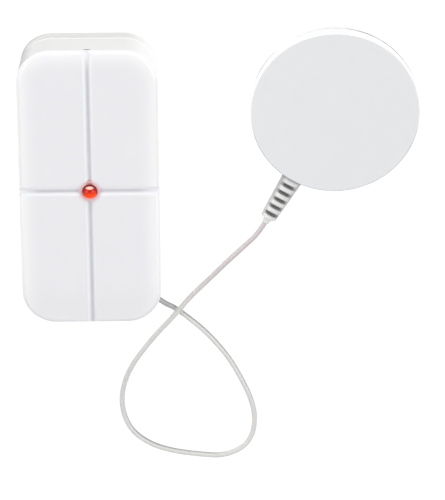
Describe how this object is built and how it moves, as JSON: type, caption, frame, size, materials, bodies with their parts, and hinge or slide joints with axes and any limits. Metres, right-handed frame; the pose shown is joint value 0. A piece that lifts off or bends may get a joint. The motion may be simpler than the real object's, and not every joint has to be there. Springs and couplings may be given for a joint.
{
  "type": "glass break sensor",
  "caption": "Small drafted wall transmitter with a crossed face groove and red lamp, wired by a thin looped cable and strain relief to a flat round shock sensor.",
  "frame": {"origin": "centre of the housing's back, on the face of its mounting pad", "axes": "+Z out of the housing's face, +Y to the housing's top, +X towards the round sensor"},
  "size_m": [0.0971, 0.1155, 0.0168],
  "materials": {
    "cover_plastic": "satin white moulding",
    "base_plastic": "satin white moulding, a little greyer",
    "sensor_cap_plastic": "smooth pale grey-white moulding",
    "sensor_base_plastic": "smooth white moulding",
    "relief_vinyl": "soft off-white vinyl",
    "cable_jacket": "off-white vinyl jacket",
    "core_wire": "insulated stranded wire",
    "foam_pad": "closed-cell foam tape",
    "board_green": "solder mask over glass laminate",
    "chip_black": "moulded epoxy",
    "shield_metal": "tinned sheet",
    "capacitor_can": "sleeved can",
    "small_part_body": "ceramic chips",
    "antenna_wire": "enamelled wire",
    "lamp_red": "red diffused resin",
    "lead_wire": "tinned wire",
    "spacer_plastic": "natural nylon",
    "switch_body": "black moulding",
    "stem_plastic": "cream moulding",
    "button_plastic": "black moulding",
    "trimmer_plastic": "blue moulding",
    "rotor_plastic": "cream moulding",
    "terminal_plastic": "green moulding",
    "battery_wrap": "printed foil wrap, bare of text",
    "contact_steel": "nickel-plated spring steel",
    "screw_steel": "zinc-plated",
    "piezo_brass": "brass disc",
    "piezo_white": "silvered ceramic"
  },
  "bodies": {
    "housing": {"rear_base": "base_plastic", "mounting_pad": "foam_pad", "circuit_board": "board_green", "board_screws": "screw_steel", "battery": "battery_wrap", "positive_contact": "contact_steel", "negative_contact": "contact_steel", "controller_chip": "chip_black", "amplifier_chip": "chip_black", "radio_shield": "shield_metal", "capacitor": "capacitor_can", "small_parts": "small_part_body", "antenna": "antenna_wire", "indicator_lamp": "lamp_red", "lamp_leads": "lead_wire", "lamp_spacer": "spacer_plastic", "tamper_switch": "switch_body", "learn_switch": "switch_body", "trimmer_body": "trimmer_plastic", "cable_terminal": "terminal_plastic", "cable_clamp": "base_plastic", "clamp_screw": "screw_steel", "housing_tail": "cable_jacket", "housing_cores": "core_wire", "cable": "cable_jacket", "sensor_base": "sensor_base_plastic", "sensor_pad": "foam_pad", "sensor_cap": "sensor_cap_plastic", "piezo_plate": "piezo_brass", "piezo_ceramic": "piezo_white", "strain_relief": "relief_vinyl", "sensor_tail": "cable_jacket", "sensor_cores": "core_wire"},
    "cover": {"front_cover": "cover_plastic"},
    "tamper": {"tamper_stem": "stem_plastic"},
    "button": {"learn_button": "button_plastic"},
    "rotor": {"trimmer_rotor": "rotor_plastic"}
  },
  "joints": [
    {"name": "cover_lift", "type": "slide", "parent": "housing", "child": "cover", "axis": [0, 0, 1], "range_m": [0, 0.03]},
    {"name": "tamper_rise", "type": "slide", "parent": "housing", "child": "tamper", "axis": [0, 0, 1], "range_m": [0, 0.0008]},
    {"name": "learn_press", "type": "slide", "parent": "housing", "child": "button", "axis": [0, 0, -1], "range_m": [0, 0.00025], "stiffness_N_per_m": 2500},
    {"name": "trimmer_turn", "type": "hinge", "parent": "housing", "child": "rotor", "pos_m": [0.0104, -0.013, 0.0087], "axis": [0, 0, 1], "range_deg": [-135, 135]}
  ],
  "couplings": [
    {"joint": "tamper_rise", "follows": "cover_lift", "ratio": 0.0266}
  ]
}
